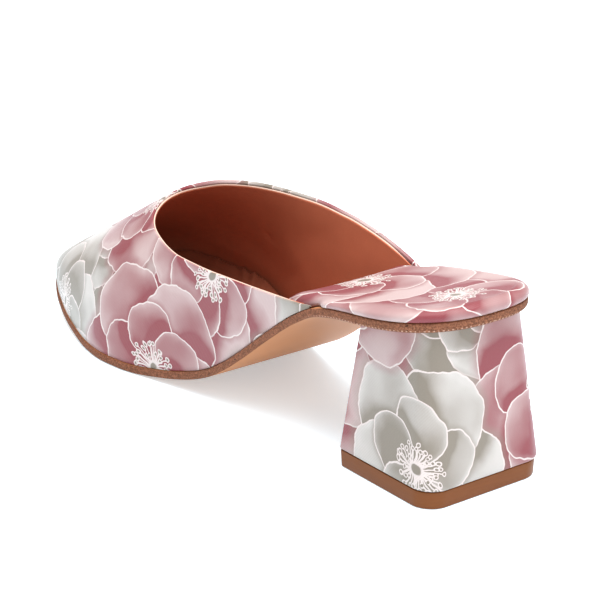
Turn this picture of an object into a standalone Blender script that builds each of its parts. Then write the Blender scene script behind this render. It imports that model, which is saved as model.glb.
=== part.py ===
"""Block heel mule for the left foot.

Sizes are in millimetres: along the shoe from the back of the heel seat, across it from the heel's
centre line (the outer side is negative) and up from the floor. The meshes are made in metres, and
the finished shoe stands on the floor about the middle of its own box.
"""

import math

import bmesh
import bpy
import numpy as np
from mathutils import Matrix, Vector

MM = 0.001
MERGE = 0.00001
GAP = 0.3

# Outsole
SHOE_LENGTH = 251.0
SOLE_THICKNESS = 3.2
SOLE_EDGE = ((0.9, 0.0), (0.0, 0.8), (0.0, 2.8), (0.4, SOLE_THICKNESS))
HEEL_ROUND = 34.0
HEEL_FULLNESS = 2.5
TOE_START = 222.0
TOE_POINT = 2.6
TOE_TIP_ACROSS = 1.5
HEEL_RAYS = 7
TOE_RAYS = 9
SEAT_CUTS = 5
WING_CUTS = 14
THROAT_CUTS = 8
VAMP_CUTS = 8

# Half outlines of the sole at sections along the shoe
PLAN_COLUMNS = ("along", "outer", "inner")
PLAN = (
    (HEEL_ROUND, -28.4, 28.4),
    (60.0, -28.6, 28.1),
    (80.0, -28.9, 27.6),
    (106.0, -30.4, 27.7),
    (128.0, -32.9, 30.3),
    (148.0, -37.0, 34.8),
    (162.0, -40.5, 37.7),
    (173.0, -41.5, 38.6),
    (185.0, -40.1, 38.3),
    (200.0, -36.7, 36.2),
    (211.0, -33.4, 33.5),
    (TOE_START, -29.2, 29.6),
)

# Underside of the sole: seat, arch, flat tread and toe spring
PROFILE_COLUMNS = ("along", "tread")
PROFILE = (
    (0.0, 60.2),
    (30.0, 55.6),
    (48.0, 52.9),
    (58.0, 50.2),
    (68.0, 44.8),
    (83.0, 34.0),
    (98.0, 22.0),
    (108.0, 14.6),
    (118.0, 8.7),
    (128.0, 4.9),
    (140.0, 2.0),
    (156.0, 0.0),
    (182.0, 0.0),
    (200.0, 1.6),
    (222.0, 4.4),
    (SHOE_LENGTH, 7.6),
)

# Upper: the last's ridge, fullness and bulge over the feather edge, and the top edge on each side
WALL = 2.2
FEATHER = 0.6
THROAT = 172.5
COLLAR_TURN = 140.0
OUTER_WING = 60.0
INNER_WING = 65.0
UPPER_ROWS = 10
LAST_COLUMNS = ("along", "ridge", "lean", "fullness", "bulge")
LAST = (
    (60.0, 110.0, 4.0, 2.6, 0.4),
    (100.0, 97.0, 4.0, 2.6, 0.8),
    (130.0, 83.0, 5.0, 2.4, 0.8),
    (150.0, 73.2, 5.0, 2.2, 0.8),
    (THROAT, 60.9, 5.0, 2.1, 0.8),
    (195.0, 47.8, 4.0, 2.1, 1.0),
    (209.0, 39.2, 3.0, 2.2, 1.4),
    (224.0, 30.3, 2.0, 2.4, 2.0),
    (240.0, 22.2, 1.0, 2.6, 2.0),
    (SHOE_LENGTH, 17.4, 1.0, 2.6, 2.0),
)
OUTER_TOP_COLUMNS = ("along", "top")
OUTER_TOP = (
    (OUTER_WING, 53.4),
    (67.0, 52.2),
    (80.0, 51.0),
    (101.0, 49.8),
    (124.0, 48.9),
    (136.0, 49.2),
    (146.0, 50.8),
    (153.0, 52.7),
    (160.0, 55.0),
    (166.0, 57.4),
    (THROAT, 60.9),
)
INNER_TOP_COLUMNS = ("along", "top")
INNER_TOP = (
    (INNER_WING, 50.9),
    (70.0, 53.1),
    (76.0, 55.5),
    (85.0, 58.2),
    (94.0, 60.3),
    (106.0, 62.4),
    (120.0, 63.4),
    (142.0, 62.6),
    (160.0, 62.1),
    (168.0, 61.9),
    (THROAT, 60.9),
)

# Insole: a padded board with a straight seat, its heel part wrapped in the printed cover
BOARD_COLUMNS = ("along", "top")
BOARD = (
    (0.0, 68.0),
    (35.0, 61.3),
    (60.0, 56.4),
    (71.0, 53.9),
    (84.0, 45.4),
    (98.0, 34.0),
    (110.0, 25.0),
    (128.0, 16.0),
    (150.0, 11.4),
    (180.0, 10.1),
    (205.0, 10.8),
    (228.0, 12.0),
    (SHOE_LENGTH, 12.9),
)
COVER_END = 104.0
COVER_OVERHANG = 0.3
COVER_TUCK = 9.0
EDGE_FOOT = 1.2
EDGE_FOOT_ROUND = 0.8
EDGE_TOP_ROUND = 4.5
CROWN = -0.6
BOARD_EDGE_ROWS = 7
BOARD_TOP_ROWS = 3

# Heel block and top lift: squares with round back corners and a flat breast, half width by back by front
LIFT_FOOT = (25.1, 1.4, 46.4)
LIFT_HEAD = (25.3, 1.2, 46.6)
BLOCK_FOOT = (25.6, 0.6, 46.6)
BLOCK_HEAD = (20.6, 6.4, 42.0)
LIFT_HEIGHT = 6.2
LIFT_EDGE = 0.6
BACK_CORNER = 8.0
BREAST_CORNER = 1.2
BACK_CORNER_STEPS = 8
BREAST_CORNER_STEPS = 3
BLOCK_ROWS = 5

# Corners sharper than this stay crisp; below it the surface is shaded as one curve
CRISP_ANGLE = 40.0

# Colour and roughness of each piece
FINISHES = {
    "outsole": ((0.50, 0.28, 0.15), 0.5),
    "heel_block": ((0.70, 0.45, 0.48), 0.45),
    "top_lift": ((0.30, 0.13, 0.06), 0.5),
    "upper": ((0.70, 0.45, 0.48), 0.45),
    "insole": ((0.26, 0.08, 0.045), 0.55),
    "seat_pad": ((0.70, 0.45, 0.48), 0.45),
}


def smooth_curve(rows, columns, name):
    """Return a smooth function of the distance along, with no overshoot between a table's rows."""
    table = np.array(rows, dtype=float)
    stations = table[:, columns.index("along")]
    values = table[:, columns.index(name)]
    span = np.diff(stations)
    rise = np.diff(values) / span
    slope = np.concatenate(([rise[0]], np.zeros(len(rise) - 1), [rise[-1]]))
    for i in range(1, len(rise)):
        before, after = rise[i - 1], rise[i]
        if before * after > 0.0:
            weight = (2.0 * span[i] + span[i - 1], span[i] + 2.0 * span[i - 1])
            slope[i] = sum(weight) / (weight[0] / before + weight[1] / after)

    def value_at(along):
        along = np.clip(along, stations[0], stations[-1])
        i = np.clip(np.searchsorted(stations, along) - 1, 0, len(span) - 1)
        t = (along - stations[i]) / span[i]
        start = values[i] * (1.0 + 2.0 * t) * (1.0 - t) ** 2 + slope[i] * span[i] * t * (1.0 - t) ** 2
        end = values[i + 1] * t * t * (3.0 - 2.0 * t) + slope[i + 1] * span[i] * t * t * (t - 1.0)
        return start + end

    return value_at


outer_edge = smooth_curve(PLAN, PLAN_COLUMNS, "outer")
inner_edge = smooth_curve(PLAN, PLAN_COLUMNS, "inner")
tread_height = smooth_curve(PROFILE, PROFILE_COLUMNS, "tread")
ridge_height = smooth_curve(LAST, LAST_COLUMNS, "ridge")
ridge_lean = smooth_curve(LAST, LAST_COLUMNS, "lean")
last_fullness = smooth_curve(LAST, LAST_COLUMNS, "fullness")
last_bulge = smooth_curve(LAST, LAST_COLUMNS, "bulge")
outer_top = smooth_curve(OUTER_TOP, OUTER_TOP_COLUMNS, "top")
inner_top = smooth_curve(INNER_TOP, INNER_TOP_COLUMNS, "top")
board_top = smooth_curve(BOARD, BOARD_COLUMNS, "top")


def sole_top(along):
    """Height of the sole's upper face."""
    return tread_height(along) + SOLE_THICKNESS


def board_thickness(along):
    """Thickness of the padded insole over the sole."""
    return board_top(along) - sole_top(along) - GAP


def smooth_step(value):
    """Ease from 0 to 1."""
    t = min(max(value, 0.0), 1.0)
    return t * t * (3.0 - 2.0 * t)


def side_stations():
    """Sections from the heel round to the toe cap, closest together just behind the throat."""
    seat = np.linspace(HEEL_ROUND, OUTER_WING, SEAT_CUTS)
    wing = np.linspace(INNER_WING, COLLAR_TURN, WING_CUTS)
    left = 1.0 - np.linspace(0.0, 1.0, THROAT_CUTS + 1)[1:]
    throat = THROAT - (THROAT - COLLAR_TURN) * left ** 2
    vamp = np.linspace(THROAT, TOE_START, VAMP_CUTS + 1)[1:]
    return np.concatenate((seat, wing, throat, vamp))


class Column:
    """One cut across the sole: a point of its edge, the spine point opposite, and the way out."""

    def __init__(self, edge, spine, side):
        self.edge = np.array(edge)
        self.spine = np.array(spine)
        self.side = side
        self.out = np.zeros(2)

    def inset(self, distance):
        """The point this far inside the sole's edge."""
        return self.edge - self.out * distance


def spine_across(along):
    """Middle of the sole at one section."""
    return 0.5 * (outer_edge(along) + inner_edge(along))


def heel_column(turn):
    """A cut of the heel round, from the back's middle (0) to the outer (-1) or inner (1) side."""
    angle = (1.0 - abs(turn)) * math.pi / 2.0
    across = math.cos(angle) ** (2.0 / HEEL_FULLNESS) * math.copysign(1.0, turn)
    back = math.sin(angle) ** (2.0 / HEEL_FULLNESS)
    edge = (inner_edge(HEEL_ROUND) * across, HEEL_ROUND * (1.0 - back))
    return Column(edge, (spine_across(HEEL_ROUND), HEEL_ROUND), math.copysign(1.0, turn))


def toe_column(turn):
    """A cut of the toe cap, from the outer side (-1) through the tip (0) to the inner side (1)."""
    back = abs(turn) ** TOE_POINT
    half_width = 0.5 * (inner_edge(TOE_START) - outer_edge(TOE_START))
    middle = TOE_TIP_ACROSS + (spine_across(TOE_START) - TOE_TIP_ACROSS) * back
    edge = (middle + half_width * turn, SHOE_LENGTH - (SHOE_LENGTH - TOE_START) * back)
    return Column(edge, (spine_across(TOE_START), TOE_START), math.copysign(1.0, turn))


def sole_columns():
    """All cuts round the sole, from the back of the heel along the outer side and back again."""
    stations = side_stations()
    steps = [i / HEEL_RAYS for i in range(HEEL_RAYS)]
    rays = [i / TOE_RAYS for i in range(1 - TOE_RAYS, TOE_RAYS)]
    columns = [heel_column(-step) for step in steps]
    columns += [Column((outer_edge(y), y), (spine_across(y), y), -1.0) for y in stations]
    columns += [toe_column(turn) for turn in rays]
    columns += [Column((inner_edge(y), y), (spine_across(y), y), 1.0) for y in stations[::-1]]
    columns += [heel_column(step) for step in steps[:0:-1]]
    count = len(columns)
    for i, column in enumerate(columns):
        along = columns[(i + 1) % count].edge - columns[i - 1].edge
        column.out = np.array((-along[1], along[0])) / np.hypot(*along)
    return columns


def point(plan, height):
    """A mesh point in metres."""
    return Vector((plan[0] * MM, plan[1] * MM, height * MM))


def skin(rings, wrap):
    """Join successive rings of points with faces, with points that coincide made one."""
    bm = bmesh.new()
    grid = [[bm.verts.new(place) for place in ring] for ring in rings]
    count = len(grid[0])
    for low, high in zip(grid, grid[1:]):
        for i in range(count if wrap else count - 1):
            j = (i + 1) % count
            bm.faces.new((low[i], low[j], high[j], high[i]))
    bmesh.ops.remove_doubles(bm, verts=bm.verts, dist=MERGE)
    bmesh.ops.recalc_face_normals(bm, faces=bm.faces)
    return bm


def add_piece(name, bm):
    """Put a mesh in the scene under its name, with the material of that piece."""
    mesh = bpy.data.meshes.new(name)
    bm.to_mesh(mesh)
    bm.free()
    mesh.shade_smooth()
    mesh.set_sharp_from_angle(angle=math.radians(CRISP_ANGLE))
    piece = bpy.data.objects.new(name, mesh)
    bpy.context.scene.collection.objects.link(piece)
    colour, roughness = FINISHES[name]
    material = bpy.data.materials.new(name)
    material.use_nodes = True
    shader = material.node_tree.nodes["Principled BSDF"]
    shader.inputs["Base Color"].default_value = (*colour, 1.0)
    shader.inputs["Roughness"].default_value = roughness
    shader.inputs["Metallic"].default_value = 0.0
    mesh.materials.append(material)
    return piece


def make_outsole(columns):
    """The sole: one thickness all over, with its lower edge cut back."""
    rings = [[point(c.spine, tread_height(c.spine[1])) for c in columns]]
    for inset, height in SOLE_EDGE:
        plans = [c.inset(inset) for c in columns]
        rings.append([point(plan, tread_height(plan[1]) + height) for plan in plans])
    rings.append([point(c.spine, sole_top(c.spine[1])) for c in columns])
    return add_piece("outsole", skin(rings, wrap=True))


def last_point(column, climb):
    """A point of the last above one column: climb 0 at the feather edge, 1 on the ridge."""
    angle = climb * math.pi / 2.0
    foot = column.inset(FEATHER)
    power = 2.0 / last_fullness(foot[1])
    spine = column.spine + np.array((ridge_lean(column.spine[1]), 0.0))
    plan = spine + (foot - spine) * math.cos(angle) ** power
    plan = plan + column.out * last_bulge(foot[1]) * math.sin(2.0 * angle)
    base = sole_top(foot[1]) + GAP
    return point(plan, base + (ridge_height(plan[1]) - base) * math.sin(angle) ** power)


def top_climb(column):
    """How far up the last the top edge of the upper lies at one column."""
    along = column.edge[1]
    if along >= THROAT:
        return 1.0
    top = outer_top(along) if column.side < 0.0 else inner_top(along)
    base = sole_top(along) + GAP
    share = (top - base) / (ridge_height(along) - base)
    return math.asin(share ** (last_fullness(along) / 2.0)) * 2.0 / math.pi


def upper_columns(columns):
    """The columns that the upper stands on, from its outer wing round the toe to its inner wing."""
    starts = {-1.0: OUTER_WING, 1.0: INNER_WING}
    return [c for c in columns if c.edge[1] >= starts[c.side]]


def make_upper(columns):
    """The upper: a sheet over the last from the feather edge to the top edge, given its wall."""
    kept = upper_columns(columns)
    climbs = [top_climb(column) for column in kept]
    rings = []
    for row in range(UPPER_ROWS + 1):
        share = row / UPPER_ROWS
        rings.append([last_point(column, share * climb) for column, climb in zip(kept, climbs)])
    upper = add_piece("upper", skin(rings, wrap=False))
    wall = upper.modifiers.new("wall", "SOLIDIFY")
    wall.thickness = WALL * MM
    wall.offset = -1.0
    wall.use_even_offset = True
    wall.use_quality_normals = True
    return upper


def board_inset(column):
    """How far the insole's side stands inside the sole's edge: tucked in front of the wing's end."""
    start = OUTER_WING if column.side < 0.0 else INNER_WING
    inside = FEATHER + WALL + GAP
    tuck = smooth_step((column.edge[1] - start + COVER_TUCK) / (COVER_TUCK - 1.0))
    return -COVER_OVERHANG + (inside + COVER_OVERHANG) * tuck


def board_edge(column, turn):
    """A point of the insole's rounded side: turn -1 underneath, 0 furthest out, 1 on top."""
    angle = turn * math.pi / 2.0
    reach = EDGE_FOOT_ROUND if turn < 0.0 else EDGE_TOP_ROUND
    plan = column.inset(board_inset(column) + reach * (1.0 - math.cos(angle)))
    rise = EDGE_FOOT if turn < 0.0 else board_thickness(column.edge[1]) - EDGE_FOOT
    return plan, EDGE_FOOT + rise * math.sin(angle)


def board_rings(columns):
    """Rings of the insole from the middle of its underside to the middle of its crowned top."""
    rings = [[point(c.spine, sole_top(c.spine[1]) + GAP) for c in columns]]
    for turn in np.linspace(-1.0, 1.0, BOARD_EDGE_ROWS):
        ring = []
        for column in columns:
            plan, height = board_edge(column, turn)
            ring.append(point(plan, sole_top(plan[1]) + GAP + height))
        rings.append(ring)
    for share in np.linspace(0.0, 1.0, BOARD_TOP_ROWS + 1)[1:]:
        ring = []
        for column in columns:
            plan = board_edge(column, 1.0)[0]
            plan = plan + (column.spine - plan) * share
            height = board_thickness(plan[1]) + CROWN * (1.0 - (1.0 - share) ** 2)
            ring.append(point(plan, sole_top(plan[1]) + GAP + height))
        rings.append(ring)
    return rings


def make_board_part(name, columns, keep_front):
    """One part of the insole, cut across where the printed cover ends."""
    bm = skin(board_rings(columns), wrap=True)
    cut = COVER_END + (0.5 if keep_front else -0.5) * GAP
    everything = list(bm.verts) + list(bm.edges) + list(bm.faces)
    bmesh.ops.bisect_plane(
        bm, geom=everything, plane_co=(0.0, cut * MM, 0.0), plane_no=(0.0, 1.0, 0.0),
        clear_inner=keep_front, clear_outer=not keep_front,
    )
    bmesh.ops.holes_fill(bm, edges=[edge for edge in bm.edges if edge.is_boundary], sides=0)
    bmesh.ops.recalc_face_normals(bm, faces=bm.faces)
    return add_piece(name, bm)


def heel_outline(size):
    """Plan points of a heel section, from the inner breast corner by the back to the outer one."""
    half_width, back, front = size
    corners = (
        (1.0, front, BREAST_CORNER, BREAST_CORNER_STEPS, 90.0),
        (1.0, back, BACK_CORNER, BACK_CORNER_STEPS, 0.0),
        (-1.0, back, BACK_CORNER, BACK_CORNER_STEPS, -90.0),
        (-1.0, front, BREAST_CORNER, BREAST_CORNER_STEPS, -180.0),
    )
    plans = []
    for side, end, radius, steps, start in corners:
        inwards = 1.0 if end == back else -1.0
        middle = np.array((side * (half_width - radius), end + inwards * radius))
        for i in range(steps + 1):
            angle = math.radians(start - 90.0 * i / steps)
            plans.append(middle + radius * np.array((math.cos(angle), math.sin(angle))))
    return plans


def heel_spine(size):
    """Points down the middle of a heel section, one for each point of its outline."""
    spine = []
    for plan in heel_outline(size):
        along = min(max(plan[1], size[1] + BACK_CORNER), size[2] - BREAST_CORNER)
        spine.append(np.array((0.0, along)))
    return spine


def make_top_lift():
    """The hard lift under the heel, its lower edge taken off."""
    half_width, back, front = LIFT_FOOT
    tread = (half_width - LIFT_EDGE, back + LIFT_EDGE, front - LIFT_EDGE)
    rings = [
        [point(plan, 0.0) for plan in heel_spine(tread)],
        [point(plan, 0.0) for plan in heel_outline(tread)],
        [point(plan, LIFT_EDGE) for plan in heel_outline(LIFT_FOOT)],
        [point(plan, LIFT_HEIGHT) for plan in heel_outline(LIFT_HEAD)],
        [point(plan, LIFT_HEIGHT) for plan in heel_spine(LIFT_HEAD)],
    ]
    return add_piece("top_lift", skin(rings, wrap=True))


def make_heel_block():
    """The covered heel: flared to its foot, its head cut to the slope of the seat."""
    base = LIFT_HEIGHT + GAP
    rings = [[point(plan, base) for plan in heel_spine(BLOCK_FOOT)]]
    for share in np.linspace(0.0, 1.0, BLOCK_ROWS):
        ring = []
        for low, high in zip(heel_outline(BLOCK_FOOT), heel_outline(BLOCK_HEAD)):
            top = tread_height(high[1]) - GAP
            ring.append(point(low + (high - low) * share, base + (top - base) * share))
        rings.append(ring)
    rings.append([point(plan, tread_height(plan[1]) - GAP) for plan in heel_spine(BLOCK_HEAD)])
    return add_piece("heel_block", skin(rings, wrap=True))


def stand_on_floor(pieces):
    """Move the meshes so that the origin lies on the floor, under the middle of the shoe."""
    places = np.array([vert.co for piece in pieces for vert in piece.data.vertices])
    low = places.min(axis=0)
    high = places.max(axis=0)
    shift = Vector((-0.5 * (low[0] + high[0]), -0.5 * (low[1] + high[1]), -low[2]))
    for piece in pieces:
        piece.data.transform(Matrix.Translation(shift))


def main():
    for piece in list(bpy.data.objects):
        bpy.data.objects.remove(piece, do_unlink=True)
    columns = sole_columns()
    pieces = [
        make_outsole(columns),
        make_heel_block(),
        make_top_lift(),
        make_board_part("insole", columns, keep_front=True),
        make_board_part("seat_pad", columns, keep_front=False),
        make_upper(columns),
    ]
    stand_on_floor(pieces)


if __name__ == "__main__":
    main()
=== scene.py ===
"""Looks of a block heel mule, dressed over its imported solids.

Sizes in the tables are in millimetres: along the shoe from the back of the sole, across it from the
heel's centre line (the outer side is negative) and up from the floor. Meshes are in the frame's metres.
"""

import math
from functools import partialmethod

import bmesh
import bpy
import numpy as np
from bpy.props import FloatProperty, FloatVectorProperty, PointerProperty
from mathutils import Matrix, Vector


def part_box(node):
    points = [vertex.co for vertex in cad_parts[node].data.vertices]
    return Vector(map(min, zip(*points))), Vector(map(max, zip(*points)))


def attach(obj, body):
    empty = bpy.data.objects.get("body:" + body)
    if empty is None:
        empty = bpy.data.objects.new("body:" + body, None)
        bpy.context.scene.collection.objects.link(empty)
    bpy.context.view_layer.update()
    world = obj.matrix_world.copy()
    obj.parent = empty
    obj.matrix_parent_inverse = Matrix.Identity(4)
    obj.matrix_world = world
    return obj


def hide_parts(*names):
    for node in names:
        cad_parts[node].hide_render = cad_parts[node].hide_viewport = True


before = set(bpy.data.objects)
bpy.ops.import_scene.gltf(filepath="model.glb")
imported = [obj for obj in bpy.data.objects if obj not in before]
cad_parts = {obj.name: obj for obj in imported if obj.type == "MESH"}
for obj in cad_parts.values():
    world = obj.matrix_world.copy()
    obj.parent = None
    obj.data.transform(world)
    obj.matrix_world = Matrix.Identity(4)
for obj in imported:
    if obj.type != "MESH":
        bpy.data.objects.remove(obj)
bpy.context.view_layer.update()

bl_info = {
    "name": "Block heel mule",
    "version": (1, 0, 0),
    "blender": (4, 5, 0),
    "location": "View3D > Sidebar > Mule",
    "description": "Dresses the solids of a block heel mule in printed satin, leather and rubber",
    "category": "Add Mesh",
}

MM = 0.001
MERGE = 0.000002
TINY = 1e-12
QUARTER = math.pi / 2.0
FULL_TURN = 2.0 * math.pi
BODY = "root"

# The tables' zero point in the frame: under the heel's middle, at the back of the sole
HEEL_LOW, HEEL_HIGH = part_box("heel_block")
SOLE_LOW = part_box("outsole")[0]
ORIGIN = np.array((0.5 * (HEEL_LOW.x + HEEL_HIGH.x), SOLE_LOW.y, 0.0))

# Sole. Its edge is given as distance inside the outline and height, and the rings between the two numbers
# of EDGE_RINGS are its trimmed edge. The plan is along, outer edge and inner edge, and the profile is along
# and height of the tread
GAP = 0.3
SHOE_LENGTH = 251.0
SOLE_THICKNESS = 3.2
SOLE_EDGE = (
    (1.5, 0.0), (0.9, 0.04), (0.4, 0.3), (0.1, 0.75), (0.0, 1.2), (0.0, 2.7), (0.15, 3.1), (0.5, 3.2),
)
EDGE_RINGS = (2, 8)
HEEL_ROUND = 34.0
HEEL_FULLNESS = 2.5
TOE_START = 222.0
TOE_POINT = 2.6
TOE_TIP_ACROSS = 1.5
PLAN = (
    (HEEL_ROUND, -28.4, 28.4), (60.0, -28.6, 28.1), (80.0, -28.9, 27.6), (106.0, -30.4, 27.7),
    (128.0, -32.9, 30.3), (148.0, -37.0, 34.8), (162.0, -40.5, 37.7), (173.0, -41.5, 38.6),
    (185.0, -40.1, 38.3), (200.0, -36.7, 36.2), (211.0, -33.4, 33.5), (TOE_START, -29.2, 29.6),
)
PROFILE = (
    (0.0, 60.2), (30.0, 55.6), (48.0, 52.9), (58.0, 50.2), (68.0, 44.8), (83.0, 34.0), (98.0, 22.0),
    (108.0, 14.6), (118.0, 8.7), (128.0, 4.9), (140.0, 2.0), (156.0, 0.0), (182.0, 0.0), (200.0, 1.6),
    (222.0, 4.4), (SHOE_LENGTH, 7.6),
)

# How finely the outline is cut: round the heel and the toe, evenly along the sides for the sole and the
# footbed, and in four stretches along the sides for the upper
HEEL_RAYS = 20
TOE_RAYS = 26
EVEN_CUTS = 220
SEAT_CUTS = 12
WING_CUTS = 40
THROAT_CUTS = 26
VAMP_CUTS = 26

# Upper. The last is along, height and lean of its ridge, fullness and bulge. The tops are along and height
WALL = 2.2
FEATHER = 0.6
THROAT = 172.5
COLLAR_TURN = 140.0
OUTER_WING = 60.0
INNER_WING = 65.0
UPPER_ROWS = 44
RIM_ROWS = 8
LAST = (
    (60.0, 110.0, 4.0, 2.6, 0.4), (100.0, 97.0, 4.0, 2.6, 0.8), (130.0, 83.0, 5.0, 2.4, 0.8),
    (150.0, 73.2, 5.0, 2.2, 0.8), (THROAT, 60.9, 5.0, 2.1, 0.8), (195.0, 47.8, 4.0, 2.1, 1.0),
    (209.0, 39.2, 3.0, 2.2, 1.4), (224.0, 30.3, 2.0, 2.4, 2.0), (240.0, 22.2, 1.0, 2.6, 2.0),
    (SHOE_LENGTH, 17.4, 1.0, 2.6, 2.0),
)
OUTER_TOP = (
    (OUTER_WING, 53.4), (67.0, 52.2), (80.0, 51.0), (101.0, 49.8), (124.0, 48.9), (136.0, 49.2),
    (146.0, 50.8), (153.0, 52.7), (160.0, 55.0), (166.0, 57.4), (THROAT, 60.9),
)
INNER_TOP = (
    (INNER_WING, 50.9), (70.0, 53.1), (76.0, 55.5), (85.0, 58.2), (94.0, 60.3), (106.0, 62.4),
    (120.0, 63.4), (142.0, 62.6), (160.0, 62.1), (168.0, 61.9), (THROAT, 60.9),
)

# The wall is skived to this at its rim, and is a little wider on the inner side. Between these places
# across, the lining's edge goes from standing just above the fold, on the outer side, to lying down
# inside it, on the inner side. The lining leans to the rim over its last stretch
RIM_WALL = 1.5
RIM_WIDER = 0.6
RIM_CHANGE = (-16.0, 10.0)
RIM_REACH = 10.0

# Shares of the upper's height that its edge layers keep to where it is low, and of the fold's depth
RIM_REACH_SHARE = 0.6
FOLD_LIMIT = 0.6
DROP_LIMIT = 0.5
FOLD_STEPS = (0.4, 1.0)

# The lining stops short of the wings' tips and fills this share of its room. The bead on its edge thins
# out over a stretch at each end, and stands out by this share of its radius
LINING_SHORT = 5.0
LINING_SHARE = 0.8
BEAD_TAPER = 14.0
BEAD_OUT = 0.6
BEAD_POINTS = 9

# Soft troughs and ridges, placed along the shoe and up from the floor. Side -1 is the outer one
MARK_COLUMNS = ("side", "along", "height", "tilt", "length", "width", "depth")
UPPER_MARKS = (
    (-1.0, 98.0, 40.0, -24.0, 18.0, 5.0, 0.25),
    (-1.0, 112.0, 33.0, -24.0, 18.0, 5.0, -0.2),
    (-1.0, 136.0, 24.0, 35.0, 15.0, 5.0, 0.3),
    (-1.0, 190.0, 24.0, -20.0, 16.0, 5.0, 0.25),
    (-1.0, 216.0, 15.0, -12.0, 12.0, 3.5, -0.25),
    (1.0, 104.0, 46.0, -18.0, 20.0, 6.0, 0.3),
    (1.0, 140.0, 32.0, 30.0, 16.0, 6.0, 0.3),
    (1.0, 196.0, 22.0, -18.0, 16.0, 5.0, 0.25),
)
LINING_MARKS = (
    (1.0, 163.0, 36.2, 35.0, 2.8, 1.7, 0.6),
    (1.0, 161.0, 34.2, 35.0, 3.0, 1.6, -0.4),
    (1.0, 178.0, 30.0, 15.0, 16.0, 4.0, 0.35),
    (1.0, 184.0, 22.0, 8.0, 18.0, 2.2, -0.35),
    (1.0, 150.0, 24.0, -30.0, 12.0, 3.0, 0.3),
    (1.0, 128.0, 48.0, -25.0, 16.0, 4.0, 0.25),
    (-1.0, 150.0, 34.0, 20.0, 14.0, 4.0, 0.3),
)

# Footbed, along and height of its top. The printed cover ends behind the brown insole and overhangs the
# sole, and its side is tucked in over a stretch that ends just behind a wing's tip
BOARD = (
    (0.0, 68.0), (35.0, 61.3), (60.0, 56.4), (71.0, 53.9), (84.0, 45.4), (98.0, 34.0), (110.0, 25.0),
    (128.0, 16.0), (150.0, 11.4), (180.0, 10.1), (205.0, 10.8), (228.0, 12.0), (SHOE_LENGTH, 12.9),
)
COVER_END = 104.0
COVER_OVERHANG = 0.3
COVER_TUCK = 9.0
TUCK_CLEAR = 1.0
EDGE_FOOT = 1.2
EDGE_FOOT_ROUND = 0.8
EDGE_TOP_ROUND = 4.5
CROWN = -0.6
BOARD_EDGE_ROWS = 25
BOARD_TOP_ROWS = 28
BOARD_CROWDING = 1.5

# The sock's edge turned up along the lining: where it starts, is full, fades and ends, how high and how
# soft it is
CURL = (132.0, 178.0, 212.0, 238.0)
CURL_RISE = 6.5
CURL_REACH = 2.0
CURL_EASE = 0.45

# Small folds of the sock across its turned-up edge on the inner side
FOLD_COLUMNS = ("along", "slant", "width", "rise")
SOCK_FOLDS = (
    (171.0, 0.5, 3.0, 0.4),
    (181.0, 0.9, 1.4, 0.9),
    (184.5, 0.9, 1.3, -0.3),
    (190.0, 1.3, 1.6, 0.8),
    (194.0, 1.3, 1.4, -0.5),
    (203.0, 0.8, 2.0, 0.5),
)

# A crease in the sock that runs along its turned-up edge: where it starts, is full, fades and ends, how far
# inside the sole's edge it lies, its width and depth
CREASE = (166.0, 178.0, 204.0, 218.0)
CREASE_INSIDE = 8.6
CREASE_WIDTH = 0.9
CREASE_DEPTH = 0.7

# Heel block and lift, half width by back by front
LIFT_FOOT = (25.1, 1.4, 46.4)
LIFT_HEAD = (25.3, 1.2, 46.6)
BLOCK_FOOT = (25.6, 0.6, 46.6)
BLOCK_HEAD = (20.6, 6.4, 42.0)
LIFT_HEIGHT = 6.2
LIFT_EDGE = 0.6
COVER_FOLD = 0.7
BACK_CORNER = 8.0
BREAST_CORNER = 1.2
BACK_CORNER_STEPS = 24
BREAST_CORNER_STEPS = 6
BLOCK_ROWS = 14
FOLD_ROWS = 4
CRISP_ANGLE = 40.0

# The print's design, in millimetres within one repeat: leaves first, then blooms from the back to the front
LEAF_COLUMNS = ("across", "along", "size", "turn", "tint")
LEAVES = (
    (60.0, 42.0, 26.0, 0.5, "stone"),
    (134.0, 76.0, 27.0, -0.8, "rose"),
    (20.0, 160.0, 26.0, 1.3, "stone"),
    (112.0, 126.0, 25.0, 2.3, "stone"),
)
BLOOM_COLUMNS = ("across", "along", "size", "turn", "petals", "tint")
BLOOMS = (
    (62.0, 76.0, 33.0, 0.9, 6.0, "stone"),
    (158.0, 100.0, 32.0, 0.4, 6.0, "stone"),
    (138.0, 146.0, 36.0, 0.7, 5.0, "stone"),
    (30.0, 30.0, 40.0, 0.2, 5.0, "rose"),
    (92.0, 138.0, 34.0, 1.4, 6.0, "stone"),
    (12.0, 94.0, 35.0, 0.5, 5.0, "rose"),
    (144.0, 42.0, 37.0, 0.1, 6.0, "rose"),
    (88.0, 20.0, 34.0, 0.3, 5.0, "stone"),
    (112.0, 84.0, 38.0, 1.0, 5.0, "rose"),
    (42.0, 132.0, 37.0, 0.6, 6.0, "rose"),
)
LINE_WIDTH = 0.42
TWILL_SHADE = 0.11

# Where each piece is cut from the cloth: across, along and turn
UPPER_CUT = (30.0, 100.0, 0.3)
HEEL_CUT = (62.0, 4.0, 0.1)
SEAT_CUT = (1.0, 80.0, -0.67)

# The print's clouds, and how the drawn lines wander: size of the waves by reach. Rows of four, here and
# below, are a change from one value to another and the tone at each
CLOUD_SIZE = 21.0
CLOUD_DETAIL = 1.0
CLOUD_TONE = (0.3, 0.7, -0.32, 0.32)
GROUND_TONE = 0.45
NOISE_MIDDLE = (0.5, 0.5, 0.5)
WANDER = ((13.0, 5.0), (3.6, 1.3))

# Rings of petals in a bloom, as shares of its radius, and the threads of its heart
PETAL_RINGS = ((0.56, 0.46, 0.5, 0.0), (0.36, 0.3, 0.3, 0.5))
THREAD_RINGS = ((19.0, 0.1), (27.0, 0.0))

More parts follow.
